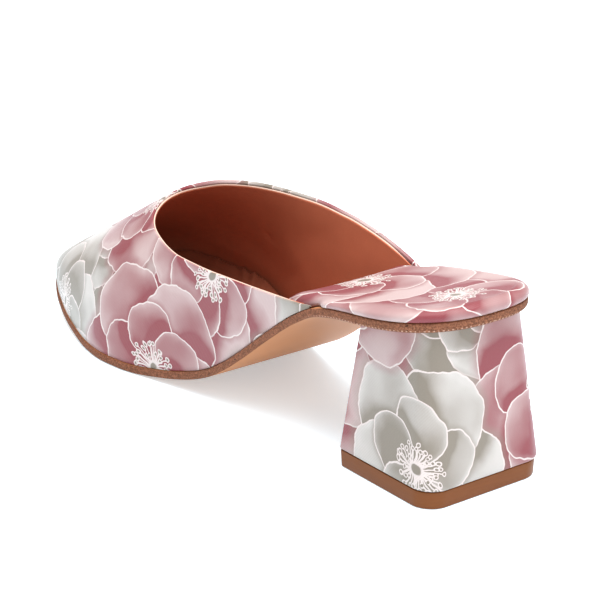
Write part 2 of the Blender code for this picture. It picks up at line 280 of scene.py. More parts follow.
# Tones of a petal: how much comes from its foot, from its side and by chance, the shade under the petal
# that lies over it, the light along its rim and the shade that it casts
SEED_SPREAD = 913.0
FOOT_REACH = 0.4
FOOT_END = 1.05
FOOT_SHARE = 0.7
SIDE_RANGE = (-1.1, 1.1)
SIDE_SHARE = 0.4
CHANCE_MIDDLE = 0.75
CHANCE_SHARE = 0.5
OVERLAP_SHADE = (1.0, 1.55, 0.8, 0.0)
RIM_LIGHT = (0.78, 1.0, 0.0, 0.22)
CAST_SHADE = (1.0, 1.22, 0.4, 0.0)
LINE_SOFTNESS = 1.4

# The heart of a bloom, as shares of its radius
THREAD_REACH = 0.13
THREAD_CHANCE = 0.14
THREAD_WIDTH = 0.0065
SEED_RING = 0.026
SEED_SIZE = 0.014
BUTTON_RING = 0.075
BUTTON_EDGE = (0.045, 0.06, 1.0, 0.0)

# A leaf, as shares of its length, and its tones from foot to tip, from side to side and along its rim
LEAF_WIDTH = 0.36
LEAF_TAPER = 0.14
LEAF_LENGTH_TONE = (-1.0, 1.0, 0.1, 0.6)
LEAF_SIDE_TONE = (-0.3, 0.3, -0.3, 0.35)
LEAF_RIM_TONE = (0.0, 0.12, 0.3, 0.0)
VEIN_SLANT = 0.9
VEIN_PITCH = 0.13
VEIN_LINE = 0.35
MIDRIB_LINE = 0.5

# Weave of the satin and grain of the leather. Noise here and below is given as its scale for each
# millimetre, its detail and its roughness
TWILL_SLANT = (0.8, 1.0, 0.0)
TWILL_HEIGHT = 0.5
FLECK_SCALE = 0.9
PORE_SCALE = 1.1
GRAIN = (0.45, 3.0)
MOTTLE = (0.06, 3.0)

# Finishes: roughness, specular level, depth of the relief in metres with its strength, and the share of
# the colour that is left in its darker tone
FINISH_COLUMNS = ("roughness", "specular", "relief", "strength", "dark")
FINISHES = {
    "satin": (0.38, 0.28, 0.00005, 0.35, 1.0),
    "lining": (0.6, 0.18, 0.00008, 0.3, 0.82),
    "cut_edge": (0.6, 0.3, 0.0, 0.0, 0.8),
    "sole_face": (0.5, 0.2, 0.00004, 0.2, 0.88),
    "sole_edge": (0.8, 0.12, 0.0002, 0.5, 0.55),
    "lift": (0.42, 0.14, 0.00005, 0.3, 0.8),
    "floor": (0.9, 0.1, 0.0, 0.0, 1.0),
}
# Share of the lining's colour that the insole keeps: painted shade, for the shadow that it lies in under the
# upper
SOCK_PAINTED_SHADE = 0.58
CUT_EDGE_SCALE = 0.3
STREAK_SCALES = (0.12, 0.12, 1.2)
STREAK = (1.0, 3.0)

# The sole's trimmed edge: light and dark crumbs, and small pits, pressed in and darkened as painted shade in
# their hollows
CRUMB = (1.6, 3.0, 0.7)
CRUMB_RANGE = (0.35, 0.68)
CRUMB_PALE = 1.5
PIT = (0.8, 2.0, 0.6)
PIT_RANGE = (0.66, 0.72)
PIT_PAINTED_SHADE = 0.18
PIT_DEPTH = 0.8

# The row of dots on it at the heel seat: its pitch, the ring that it lies on with the row's soft width,
# where it ends along the frame and how uneven it is
DOT_PITCH = 1.5
DOT_RING = 3.7
DOT_ROW = (0.35, 0.6, 1.0, 0.0)
DOT_END = -60.0
DOT_FADE = 14.0
DOT_NOISE = (0.5, 1.0)
DOT_UNEVEN = (0.3, 0.7, -0.7, 0.4)
DOT_EDGE = (0.0, 0.5)

# Stage, in metres. A lamp is its name, size, place and aim
FLOOR_SIZE = 12.0
LAMPS = (
    ("overhead", 1.6, (0.0, -0.15, 1.5), (0.0, 0.0, 0.0)),
    ("side", 0.9, (-0.1, -1.4, 0.75), (0.0, 0.0, 0.04)),
)
WHITE = (1.0, 1.0, 1.0, 1.0)
SENSOR_WIDTH = 36.0
CLIP_START = 0.01


def length(name, description, default):
    """A small size in metres that a user can change."""
    return FloatProperty(name=name, description=description, default=default, unit="LENGTH", precision=5)


def colour(name, description, default):
    """A colour that a user can change."""
    return FloatVectorProperty(
        name=name, description=description, default=default, subtype="COLOR", size=3, min=0.0, max=1.0)


def point(name, description, default):
    """A place in metres that a user can change."""
    return FloatVectorProperty(
        name=name, description=description, default=default, subtype="XYZ", unit="LENGTH", size=3)


class MuleSizes(bpy.types.PropertyGroup):
    """Sizes of the thin layers that dress the shoe."""

    cover: length("Cover", "Thickness of the printed cover with its backing", 0.0009)
    rim_rise: length("Rim rise", "How far the folded top edge stands up in its middle", 0.0004)
    fold_depth: length("Fold depth", "How far the cover is turned down inside the top edge", 0.0022)
    lining: length("Lining", "Thickness of the lining leather", 0.0005)
    lining_drop: length("Lining drop", "How far the lining's edge lies below the top edge", 0.0006)
    lining_stand: length(
        "Lining stand", "How far the lining's edge stands above the fold on the outer side", 0.0001)
    edge_bead: length("Edge bead", "Radius of the pale bead along the lining's edge", 0.0003)


class MulePrint(bpy.types.PropertyGroup):
    """Scale and colours of the printed satin."""

    repeat: length("Repeat", "Size of one repeat of the print", 0.17)
    weave_pitch: length("Weave pitch", "Distance between the twill lines of the satin", 0.0009)
    rose: colour("Rose", "Deep colour at the foot of the rose petals", (0.2, 0.035, 0.045))
    blush: colour("Blush", "Pale colour at the rim of the rose petals", (0.43, 0.312, 0.304))
    stone: colour("Stone", "Warm grey at the foot of the pale petals", (0.19, 0.158, 0.127))
    chalk: colour("Chalk", "Off-white at the rim of the pale petals", (0.468, 0.428, 0.405))
    outline: colour("Outline", "Colour of the fine lines round the petals", (0.57, 0.485, 0.465))


class MuleLeathers(bpy.types.PropertyGroup):
    """Colours of the lining, the sole and the lift."""

    lining: colour("Lining", "Terracotta leather of the lining and the insole", (0.5, 0.14, 0.07))
    lining_edge: colour("Lining edge", "Pale cut edge of the lining", (0.78, 0.54, 0.43))
    sole_edge: colour("Sole edge", "Rough trimmed edge of the sole", (0.178, 0.069, 0.038))
    seat_dots: colour(
        "Seat dots", "Pale dots low on the sole's edge round the heel seat", (0.4, 0.23, 0.165))
    sole_face: colour("Sole face", "Smooth underside of the sole", (0.46, 0.185, 0.072))
    lift: colour("Lift", "Hard rubber under the heel", (0.175, 0.055, 0.015))


class MuleStage(bpy.types.PropertyGroup):
    """Floor, light and camera."""

    floor: colour("Floor", "Colour of the plain pale floor", (0.785, 0.89, 0.95))
    floor_glow: FloatProperty(
        name="Floor glow", description="Light of the floor's own, as on a light table",
        default=0.42, min=0.0)
    surround: FloatProperty(
        name="Surround", description="Strength of the even light from all round", default=0.8, min=0.0)
    overhead: FloatProperty(
        name="Overhead", description="Power of the wide light above", default=45.0, unit="POWER")
    side: FloatProperty(
        name="Side", description="Power of the soft light behind the heel", default=7.0, unit="POWER")
    lens: FloatProperty(
        name="Lens", description="Focal length of the camera in millimetres", default=125.15)
    eye: point("Eye", "Where the camera stands", (-0.41289, -0.57498, 0.30196))
    aim: point("Aim", "The point that the camera looks at", (-0.00982, -0.03745, 0.04332))
    shift: FloatProperty(
        name="Shift", description="Sideways shift of the picture, as a share of its width",
        default=0.00217, precision=5)


def smooth_curve(stations, values):
    """A smooth function of the distance along, with no overshoot between the stations."""
    span = np.diff(stations)
    rise = np.diff(values) / span
    slope = np.concatenate(([rise[0]], np.zeros(len(rise) - 1), [rise[-1]]))
    for i in range(1, len(rise)):
        before, after = rise[i - 1], rise[i]
        if before * after > 0.0:
            weight = (2.0 * span[i] + span[i - 1], span[i] + 2.0 * span[i - 1])
            slope[i] = sum(weight) / (weight[0] / before + weight[1] / after)

    def value_at(along):
        along = np.clip(along, stations[0], stations[-1])
        i = np.clip(np.searchsorted(stations, along) - 1, 0, len(span) - 1)
        t = (along - stations[i]) / span[i]
        start = values[i] * (1.0 + 2.0 * t) * (1.0 - t) ** 2 + slope[i] * span[i] * t * (1.0 - t) ** 2
        end = values[i + 1] * t * t * (3.0 - 2.0 * t) + slope[i + 1] * span[i] * t * t * (t - 1.0)
        return start + end

    return value_at


def smooth_curves(rows):
    """Smooth curves through the columns of a table whose first column is the distance along."""
    stations, *columns = np.array(rows, dtype=float).T
    return [smooth_curve(stations, values) for values in columns]


outer_edge, inner_edge = smooth_curves(PLAN)
[tread_height] = smooth_curves(PROFILE)
ridge_height, ridge_lean, last_fullness, last_bulge = smooth_curves(LAST)
[outer_top] = smooth_curves(OUTER_TOP)
[inner_top] = smooth_curves(INNER_TOP)
[board_top] = smooth_curves(BOARD)


def sole_top(along):
    """Height of the sole's upper face."""
    return tread_height(along) + SOLE_THICKNESS


def board_thickness(along):
    """Thickness of the padded footbed over the sole."""
    return board_top(along) - sole_top(along) - GAP


def smooth_step(value):
    """Ease from 0 to 1."""
    t = np.clip(value, 0.0, 1.0)
    return t * t * (3.0 - 2.0 * t)


def stretch(along, start, full, fade, end):
    """A share that rises from start to full and falls from fade to end."""
    return smooth_step((along - start) / (full - start)) * smooth_step((end - along) / (end - fade))


def unit(vectors):
    """The vectors made one long."""
    return vectors / np.maximum(np.linalg.norm(vectors, axis=-1, keepdims=True), TINY)


class Outline:
    """Cuts round the sole, in order from the back of the heel along the outer side and back."""

    def __init__(self, edge, spine, side, out):
        self.edge = edge
        self.spine = spine
        self.side = side
        self.out = out

    def inset(self, distance):
        """Points this far inside the sole's edge."""
        return self.edge - self.out * np.reshape(distance, (-1, 1))

    def pick(self, keep):
        """Only the cuts that are kept."""
        return Outline(self.edge[keep], self.spine[keep], self.side[keep], self.out[keep])

    def closed(self):
        """The same cuts with the first repeated at the end."""
        return self.pick(np.append(np.arange(len(self.side)), 0))

    def wing_tips(self):
        """Where the upper's wing ends on the side of each cut."""
        return np.where(self.side < 0.0, OUTER_WING, INNER_WING)


def side_stations():
    """Sections from the heel round to the toe cap, closest together just behind the throat."""
    seat = np.linspace(HEEL_ROUND, OUTER_WING, SEAT_CUTS)
    wing = np.linspace(INNER_WING, COLLAR_TURN, WING_CUTS)
    left = 1.0 - np.linspace(0.0, 1.0, THROAT_CUTS + 1)[1:]
    throat = THROAT - (THROAT - COLLAR_TURN) * left ** 2
    vamp = np.linspace(THROAT, TOE_START, VAMP_CUTS + 1)[1:]
    return np.concatenate((seat, wing, throat, vamp))


def even_stations():
    """Sections from the heel round to the toe cap, evenly apart."""
    return np.linspace(HEEL_ROUND, TOE_START, EVEN_CUTS)


def spine_across(along):
    """Middle of the sole at one section."""
    return 0.5 * (outer_edge(along) + inner_edge(along))


def heel_edge(turn):
    """Points of the heel round, from the back's middle (0) to the outer (-1) or inner (1) side."""
    angle = (1.0 - np.abs(turn)) * math.pi / 2.0
    across = np.cos(angle) ** (2.0 / HEEL_FULLNESS) * np.sign(turn)
    back = np.sin(angle) ** (2.0 / HEEL_FULLNESS)
    return np.column_stack((inner_edge(HEEL_ROUND) * across, HEEL_ROUND * (1.0 - back)))


def toe_edge(turn):
    """Points of the toe cap, from the outer side (-1) through the tip (0) to the inner side (1)."""
    back = np.abs(turn) ** TOE_POINT
    half_width = 0.5 * (inner_edge(TOE_START) - outer_edge(TOE_START))
    middle = TOE_TIP_ACROSS + (spine_across(TOE_START) - TOE_TIP_ACROSS) * back
    return np.column_stack((middle + half_width * turn, SHOE_LENGTH - (SHOE_LENGTH - TOE_START) * back))


def sole_outline(stations):
    """All cuts round the sole, with these sections along its sides."""
    middle = np.column_stack((spine_across(stations), stations))
    heel_turn = np.arange(HEEL_RAYS) / HEEL_RAYS
    toe_turn = np.arange(1 - TOE_RAYS, TOE_RAYS) / TOE_RAYS
    heel_point = np.array((spine_across(HEEL_ROUND), HEEL_ROUND))
    toe_point = np.array((spine_across(TOE_START), TOE_START))
    stretches = (
        (heel_edge(-heel_turn), np.tile(heel_point, (HEEL_RAYS, 1)), -np.ones(HEEL_RAYS)),
        (np.column_stack((outer_edge(stations), stations)), middle, -np.ones(len(stations))),
        (toe_edge(toe_turn), np.tile(toe_point, (len(toe_turn), 1)), np.where(toe_turn < 0.0, -1.0, 1.0)),
        (np.column_stack((inner_edge(stations), stations))[::-1], middle[::-1], np.ones(len(stations))),
        (heel_edge(heel_turn[:0:-1]), np.tile(heel_point, (HEEL_RAYS - 1, 1)), np.ones(HEEL_RAYS - 1)),
    )
    edge, spine, side = (np.concatenate(part) for part in zip(*stretches))
    along = np.roll(edge, -1, axis=0) - np.roll(edge, 1, axis=0)
    out = unit(np.column_stack((-along[:, 1], along[:, 0])))
    return Outline(edge, spine, side, out)


def points(plan, height):
    """Plan points and heights, in millimetres, as points in space."""
    return np.concatenate((plan, np.reshape(height, plan.shape[:-1] + (1,))), axis=-1)


def bend_grid(bm, surface, cloth=None):
    """Add a grid of faces and bend it to a surface of rows by columns of points in millimetres."""
    rows, columns = surface.shape[:2]
    made = bmesh.ops.create_grid(bm, x_segments=columns - 1, y_segments=rows - 1, size=0.5)["verts"]
    places = {}
    for vert in made:
        row = round((vert.co.y + 0.5) * (rows - 1))
        column = round((vert.co.x + 0.5) * (columns - 1))
        places[vert] = (row, column)
        vert.co = Vector(surface[row, column] * MM + ORIGIN)
    if cloth is not None:
        layer = bm.loops.layers.uv.verify()
        for vert, place in places.items():
            for loop in vert.link_loops:
                loop[layer].uv = cloth[place] * MM


def weld(bm):
    """Make points that coincide one, and turn the faces of the closed shell outwards."""
    bmesh.ops.remove_doubles(bm, verts=bm.verts, dist=MERGE)
    bmesh.ops.recalc_face_normals(bm, faces=bm.faces)


def shell(surface, cloth=None):
    """A mesh bent to a surface, with its seams closed."""
    bm = bmesh.new()
    bend_grid(bm, surface, cloth)
    weld(bm)
    return bm


def close_holes(bm):
    """Put a face over each open end."""
    bmesh.ops.holes_fill(bm, edges=[edge for edge in bm.edges if edge.is_boundary], sides=0)


def add_piece(name, bm, materials):
    """Put a mesh in the scene as a smooth piece that moves with the shoe."""
    mesh = bpy.data.meshes.new(name)
    bm.to_mesh(mesh)
    bm.free()
    mesh.shade_smooth()
    for material in materials:
        mesh.materials.append(material)
    piece = bpy.data.objects.new(name, mesh)
    bpy.context.scene.collection.objects.link(piece)
    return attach(piece, BODY)


def upper_outline():
    """The cuts that the upper stands on, from its outer wing round the toe to its inner wing."""
    outline = sole_outline(side_stations())
    return outline.pick(outline.edge[:, 1] >= outline.wing_tips())


def top_climb(outline):
    """How far up the last the top edge lies at each cut: 1 is the ridge."""
    along = np.minimum(outline.edge[:, 1], THROAT)
    top = np.where(outline.side < 0.0, outer_top(along), inner_top(along))
    base = sole_top(along) + GAP
    share = np.clip((top - base) / (ridge_height(along) - base), 0.0, 1.0)
    climb = np.arcsin(share ** (last_fullness(along) / 2.0)) * 2.0 / math.pi
    return np.where(outline.edge[:, 1] >= THROAT, 1.0, climb)


def last_surface(outline, climb):
    """Points of the last above each cut, for rows of climbs from the feather edge to the ridge."""
    angle = climb * math.pi / 2.0
    foot = outline.inset(FEATHER)
    power = 2.0 / last_fullness(foot[:, 1])
    spine = outline.spine + np.column_stack((ridge_lean(outline.spine[:, 1]), np.zeros(len(foot))))
    reach = np.cos(angle) ** power
    swell = last_bulge(foot[:, 1]) * np.sin(2.0 * angle)
    plan = spine + (foot - spine) * reach[..., None] + outline.out * swell[..., None]
    base = sole_top(foot[:, 1]) + GAP
    return points(plan, base + (ridge_height(plan[..., 1]) - base) * np.sin(angle) ** power)


def surface_normals(outline, climb, surface):
    """Outward normals of the last, from its slopes up each cut and across the cuts at the same climb."""
    cuts = np.arange(len(outline.side))
    ahead = last_surface(outline.pick(np.minimum(cuts + 1, cuts[-1])), climb)
    behind = last_surface(outline.pick(np.maximum(cuts - 1, 0)), climb)
    normals = unit(np.cross(np.gradient(surface, axis=0), ahead - behind))
    flat = np.round(surface.reshape(-1, 3), 3)
    same = np.unique(flat, axis=0, return_inverse=True)[1].reshape(-1)
    total = np.zeros((same.max() + 1, 3))
    np.add.at(total, same, normals.reshape(-1, 3))
    return unit(total[same]).reshape(surface.shape)


def soft_marks(surface, side, marks):
    """How deep a surface is pressed in by its soft troughs. A ridge has a depth below zero."""
    depth = np.zeros(surface.shape[:2])
    for row in marks:
        mark = dict(zip(MARK_COLUMNS, row))
        tilt = math.radians(mark["tilt"])
        ahead = surface[..., 1] - mark["along"]
        above = surface[..., 2] - mark["height"]
        down_length = (ahead * math.cos(tilt) + above * math.sin(tilt)) / mark["length"]
        over_width = (above * math.cos(tilt) - ahead * math.sin(tilt)) / mark["width"]
        fade = np.exp(-down_length ** 2 - over_width ** 2)
        depth += np.where(side == mark["side"], mark["depth"] * fade, 0.0)
    return depth[..., None]


class UpperForm:
    """The outer surface of the upper with the frame of its top edge."""

    def __init__(self):
        self.outline = upper_outline()
        climb = np.linspace(0.0, 1.0, UPPER_ROWS + 1)[:, None] * top_climb(self.outline)
        self.outer = last_surface(self.outline, climb)
        self.normal = surface_normals(self.outline, climb, self.outer)
        self.outer -= self.normal * soft_marks(self.outer, self.outline.side, UPPER_MARKS)
        # Both sides have a cut at the throat, where they meet, and the rim keeps the outer one
        rim = np.flatnonzero(self.outline.edge[:, 1] <= THROAT)
        self.rim = np.delete(rim, np.flatnonzero(np.diff(rim) > 1)[0] + 1)
        self.top = self.outer[-1, self.rim]
        self.top_normal = self.normal[-1, self.rim]
        self.top_up = unit(np.cross(np.gradient(self.top, axis=0), self.top_normal))
        self.height = np.linalg.norm(self.outer[-1, self.rim] - self.outer[0, self.rim], axis=1)[:, None]
        self.inwards = smooth_step((self.top[:, :1] - RIM_CHANGE[0]) / (RIM_CHANGE[1] - RIM_CHANGE[0]))
        self.rim_wall = RIM_WALL + RIM_WIDER * self.inwards


def cover_sheet(form, sizes):
    """The printed cover: over the last, round the top edge and a little way down inside."""
    bm = bmesh.new()
    bend_grid(bm, form.outer)
    half = 0.5 * (form.rim_wall - sizes.lining / MM)
    rise = sizes.rim_rise / MM
    rows = [form.top]
    for angle in np.linspace(0.0, math.pi, RIM_ROWS + 1)[1:]:
        inwards = half * (1.0 - math.cos(angle))
        rows.append(form.top - form.top_normal * inwards + form.top_up * rise * math.sin(angle))
    depth = np.minimum(sizes.fold_depth / MM, FOLD_LIMIT * form.height)
    for share in FOLD_STEPS:
        rows.append(form.top - form.top_normal * 2.0 * half - form.top_up * depth * share)
    bend_grid(bm, np.array(rows))
    weld(bm)
    return bm


def read_rows(items, name, width, kind=float):
    """One property of all the items of a mesh, a row for each."""
    values = np.zeros(width * len(items), dtype=kind)
    items.foreach_get(name, values)
    return values.reshape(-1, width)


def cloth_scale(mesh, flat):
    """Metres of cloth for one unit of a flattened pattern."""
    spread = 0.0
    area = 0.0
    for polygon in mesh.polygons:
        corners = flat[list(polygon.loop_indices)]
        ahead = np.roll(corners, -1, axis=0)
        spread += 0.5 * abs(np.sum(corners[:, 0] * ahead[:, 1] - ahead[:, 0] * corners[:, 1]))
        area += polygon.area
    return math.sqrt(area / spread)


def unwrap(piece):
    """Flatten a piece's mesh into its cloth map."""
    bpy.context.view_layer.objects.active = piece
    piece.select_set(True)
    bpy.ops.object.mode_set(mode="EDIT")
    bpy.ops.mesh.select_all(action="SELECT")
    bpy.ops.uv.unwrap(method="ANGLE_BASED", margin=0.0)
    bpy.ops.object.mode_set(mode="OBJECT")
    piece.select_set(False)


def roll_out(piece, form):
    """Flatten the cover as a pattern cutter would, in real size, from the throat straight to the toe."""
    unwrap(piece)
    mesh = piece.data
    cloth = mesh.uv_layers.active.data
    flat = read_rows(cloth, "uv", 2)
    corner = read_rows(mesh.loops, "vertex_index", 1, int)[:, 0]
    place = read_rows(mesh.vertices, "co", 3)
    ends = []
    for end in (form.outer[0, np.argmax(form.outer[0, :, 1])], form.top[np.argmax(form.top[:, 1])]):
        nearest = np.argmin(np.linalg.norm(place - (end * MM + ORIGIN), axis=1))
        ends.append(flat[np.argmax(corner == nearest)])
    toe, throat = ends
    across, along = toe - throat
    angle = math.pi / 2.0 - math.atan2(along, across)
    turn = np.array(((math.cos(angle), -math.sin(angle)), (math.sin(angle), math.cos(angle))))
    flat = (flat - throat) @ turn.T * cloth_scale(mesh, flat)
    cloth.foreach_set("uv", flat.ravel())


def give_wall(piece, thickness, offset):
    """Give a sheet its thickness, shaded by its larger faces."""
    wall = piece.modifiers.new("wall", "SOLIDIFY")
    wall.thickness = thickness
    wall.offset = offset
    wall.use_even_offset = False
    wall.use_rim = True
    shading = piece.modifiers.new("shading", "WEIGHTED_NORMAL")
    shading.mode = "FACE_AREA"
    shading.keep_sharp = False


def rim_lean(form, sizes, inner):
    """How far the lining's points move to meet the skived rim, fading out away from it."""
    drop = (form.inwards * (sizes.lining_drop + sizes.lining_stand) - sizes.lining_stand) / MM
    drop = np.minimum(drop, DROP_LIMIT * form.height)
    shift = form.top_normal * (WALL - form.rim_wall) - form.top_up * drop
    away = np.linalg.norm(inner[:, :, None] - inner[-1, form.rim], axis=-1)
    nearest = np.argmin(away, axis=-1)
    reach = np.minimum(RIM_REACH, RIM_REACH_SHARE * form.height[:, 0])[nearest]
    return shift[nearest] * smooth_step(1.0 - np.min(away, axis=-1) / reach)[..., None]


def make_cover(form, sizes):
    """The printed cover of the upper."""
    cover = add_piece("upper_cover", cover_sheet(form, sizes), [printed_satin("upper_satin", UPPER_CUT)])
    roll_out(cover, form)
    give_wall(cover, sizes.cover, -1.0)
    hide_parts("upper")


def make_lining(sizes, inner, kept):
    """The lining, over the cuts that are kept."""
    lining = add_piece("upper_lining", shell(inner[:, kept]), [lining_leather("lining_leather")])
    give_wall(lining, sizes.lining * LINING_SHARE, 1.0)


def make_bead(form, sizes, inner, kept):
    """The pale bead along the lining's edge."""
    lined = kept[form.rim]
    middle = inner[-1, form.rim[lined]]
    up = form.top_up[lined]
    outwards = form.top_normal[lined]
    run = np.concatenate(([0.0], np.cumsum(np.linalg.norm(np.diff(middle, axis=0), axis=1))))
    taper = smooth_step(np.minimum(run, run[-1] - run) / BEAD_TAPER)[:, None]
    radius = sizes.edge_bead / MM * taper
    middle = middle + outwards * BEAD_OUT * radius
    rows = []
    for angle in np.linspace(0.0, FULL_TURN, BEAD_POINTS):
        rows.append(middle + radius * (up * math.sin(angle) - outwards * math.cos(angle)))
    bm = shell(np.array(rows))
    close_holes(bm)
    bead = add_piece("lining_edge", bm, [cut_edge("lining_cut_edge")])


def make_upper(sizes):
    """The printed upper with its lining and the pale bead along the lining's edge."""
    form = UpperForm()
    make_cover(form, sizes)
    inner = form.outer - form.normal * WALL
    inner += form.normal * soft_marks(inner, form.outline.side, LINING_MARKS)
    inner += rim_lean(form, sizes, inner)
    kept = form.outline.edge[:, 1] >= form.outline.wing_tips() + LINING_SHORT
    make_lining(sizes, inner, kept)
    make_bead(form, sizes, inner, kept)


def board_inset(outline):
    """How far the footbed's side stands inside the sole's edge: tucked in front of the wing's end."""
    inside = FEATHER + WALL + GAP
    tuck = smooth_step((outline.edge[:, 1] - outline.wing_tips() + COVER_TUCK) / (COVER_TUCK - TUCK_CLEAR))
    return -COVER_OVERHANG + (inside + COVER_OVERHANG) * tuck


def sock_folds(outline, plan):
    """Height of the sock's small folds and crease at plan points, one for each cut."""
    inside = np.linalg.norm(outline.edge - plan, axis=1)
    height = np.zeros(len(plan))
    for row in SOCK_FOLDS:
        fold = dict(zip(FOLD_COLUMNS, row))
        off = (plan[:, 1] + fold["slant"] * inside - fold["along"]) / fold["width"]
        height += fold["rise"] * np.exp(-off ** 2)
    full = stretch(plan[:, 1], *CREASE)
    height -= CREASE_DEPTH * full * np.exp(-((inside - CREASE_INSIDE) / CREASE_WIDTH) ** 2)
    return np.where(outline.side > 0.0, height, 0.0)


def board_surface(outline):
    """Rows of the footbed from the middle of its underside to the middle of its dished top."""
    rows = [points(outline.spine, sole_top(outline.spine[:, 1]) + GAP)]
    inset = board_inset(outline)
    curl = stretch(outline.edge[:, 1], *CURL)
    top_round = EDGE_TOP_ROUND + (CURL_REACH - EDGE_TOP_ROUND) * curl
    thickness = board_thickness(outline.edge[:, 1])
    for turn in np.linspace(-1.0, 1.0, BOARD_EDGE_ROWS):
        angle = turn * math.pi / 2.0
        reach = EDGE_FOOT_ROUND if turn < 0.0 else top_round
        plan = outline.inset(inset + reach * (1.0 - math.cos(angle)))
        rise = EDGE_FOOT
        if turn >= 0.0:
            rise = thickness - EDGE_FOOT + CURL_RISE * curl + sock_folds(outline, plan)
        rows.append(points(plan, sole_top(plan[:, 1]) + GAP + EDGE_FOOT + rise * math.sin(angle)))
    rim = rows[-1][:, :2]
    for share in np.linspace(0.0, 1.0, BOARD_TOP_ROWS + 1)[1:] ** BOARD_CROWDING:
        plan = rim + (outline.spine - rim) * share
        dish = CROWN * (1.0 - (1.0 - share) ** 2)
        turned_up = (CURL_RISE * curl + sock_folds(outline, plan)) * (1.0 - smooth_step(share / CURL_EASE))
        rows.append(points(plan, board_top(plan[:, 1]) + dish + turned_up))
    return np.array(rows)


def board_cloth(outline, surface):
    """The flat pattern of the footbed's cover: each cut rolled out from the spine."""
    lengths = np.linalg.norm(np.diff(surface, axis=0), axis=2)
    from_top = np.concatenate((np.cumsum(lengths[::-1], axis=0)[::-1], np.zeros((1, len(outline.side)))))
    return outline.spine + unit(outline.edge - outline.spine) * from_top[..., None]


def make_footbed_part(name, node, keep_front, materials):
    """One part of the footbed, cut across where the printed cover ends."""
    outline = sole_outline(even_stations()).closed()
    surface = board_surface(outline)
    bm = shell(surface, board_cloth(outline, surface))
    cut = COVER_END + (0.5 if keep_front else -0.5) * GAP
    everything = list(bm.verts) + list(bm.edges) + list(bm.faces)
    bmesh.ops.bisect_plane(
        bm, geom=everything, plane_co=(0.0, cut * MM + ORIGIN[1], 0.0), plane_no=(0.0, 1.0, 0.0),
        clear_inner=keep_front, clear_outer=not keep_front,
    )
    close_holes(bm)
    bmesh.ops.recalc_face_normals(bm, faces=bm.faces)
    piece = add_piece(name, bm, materials)
    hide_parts(node)


def make_sole():
    """The sole: a smooth face underneath and a rough trimmed edge."""
    outline = sole_outline(even_stations()).closed()
    rows = [points(outline.spine, tread_height(outline.spine[:, 1]))]
    for inset, height in SOLE_EDGE:
        plan = outline.inset(inset)
        rows.append(points(plan, tread_height(plan[:, 1]) + height))
    rows.append(points(outline.spine, sole_top(outline.spine[:, 1])))
    around = np.cumsum(np.linalg.norm(np.diff(outline.edge, axis=0, prepend=outline.edge[:1]), axis=1))
    cloth = np.stack(np.broadcast_arrays(around, np.arange(len(rows))[:, None] * 1.0), axis=-1)
    bm = shell(np.array(rows), cloth)
    layer = bm.loops.layers.uv.verify()
    low, high = EDGE_RINGS
    for face in bm.faces:
        ring = sum(loop[layer].uv.y for loop in face.loops) / len(face.loops) / MM
        face.material_index = 1 if low < ring < high else 0
    piece = add_piece("sole", bm, [sole_face("sole_face"), sole_edge("sole_edge")])
    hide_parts("outsole")


def heel_outline(size):
    """Plan points of a heel section, from the inner breast corner by the back and round to the start."""
    half_width, back, front = size
    corners = (
        (1.0, front, BREAST_CORNER, BREAST_CORNER_STEPS, 90.0),
        (1.0, back, BACK_CORNER, BACK_CORNER_STEPS, 0.0),
        (-1.0, back, BACK_CORNER, BACK_CORNER_STEPS, -90.0),
        (-1.0, front, BREAST_CORNER, BREAST_CORNER_STEPS, -180.0),
    )
    plans = []
    for side, end, radius, steps, start in corners:
        inwards = 1.0 if end == back else -1.0
        middle = np.array((side * (half_width - radius), end + inwards * radius))
        angle = np.radians(start - 90.0 * np.arange(steps + 1) / steps)
        plans.append(middle + radius * np.column_stack((np.cos(angle), np.sin(angle))))
    plans = np.concatenate(plans)
    return np.concatenate((plans, plans[:1]))


def heel_spine(size):
    """Points down the middle of a heel section, one for each point of its outline."""
    along = np.clip(heel_outline(size)[:, 1], size[1] + BACK_CORNER, size[2] - BREAST_CORNER)
    return np.column_stack((np.zeros(len(along)), along))


def shrink(size, distance):
    """A heel section this much smaller all round."""
    half_width, back, front = size
    return half_width - distance, back + distance, front - distance


def level(plan, height):
    """Plan points at one height."""
    return points(plan, np.full(len(plan), height))


def heel_cloth(surface):
    """The flat pattern of the heel's cover, rolled out both ways from the middle of its back."""
    plan_steps = np.linalg.norm(np.diff(surface[..., :2], axis=1), axis=2)
    around = np.concatenate((np.zeros((len(surface), 1)), np.cumsum(plan_steps, axis=1)), axis=1)
    back = BREAST_CORNER_STEPS + BACK_CORNER_STEPS + 1
    middle = 0.5 * (around[:, back:back + 1] + around[:, back + 1:back + 2])
    return np.stack((around - middle, surface[..., 2]), axis=-1)


def crisp(piece):
    """Keep the corners of a hard piece crisp."""
    piece.data.set_sharp_from_angle(angle=math.radians(CRISP_ANGLE))


def eased_edge(size, height, radius, up=1.0):
    """Rows round the eased edge of a heel section, from its flat end to its side, upwards or down."""
    rows = []
    for angle in np.linspace(0.0, QUARTER, FOLD_ROWS):
        plan = heel_outline(shrink(size, radius * (1.0 - math.sin(angle))))
        rows.append(level(plan, height + up * radius * (1.0 - math.cos(angle))))
    return rows


def make_heel_block():
    """The covered heel, its cover turned in round the foot."""
    base = LIFT_HEIGHT + GAP
    rows = [level(heel_spine(BLOCK_FOOT), base)] + eased_edge(BLOCK_FOOT, base, COVER_FOLD)[:-1]
    foot = heel_outline(BLOCK_FOOT)
    head = heel_outline(BLOCK_HEAD)
    low = base + COVER_FOLD
    top = tread_height(head[:, 1]) - GAP
    for share in np.linspace(0.0, 1.0, BLOCK_ROWS):
        rows.append(points(foot + (head - foot) * share, low + (top - low) * share))
    spine = heel_spine(BLOCK_HEAD)
    rows.append(points(spine, tread_height(spine[:, 1]) - GAP))
    surface = np.array(rows)
    bm = shell(surface, heel_cloth(surface))
    piece = add_piece("heel_cover", bm, [printed_satin("heel_satin", HEEL_CUT)])
    crisp(piece)
    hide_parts("heel_block")


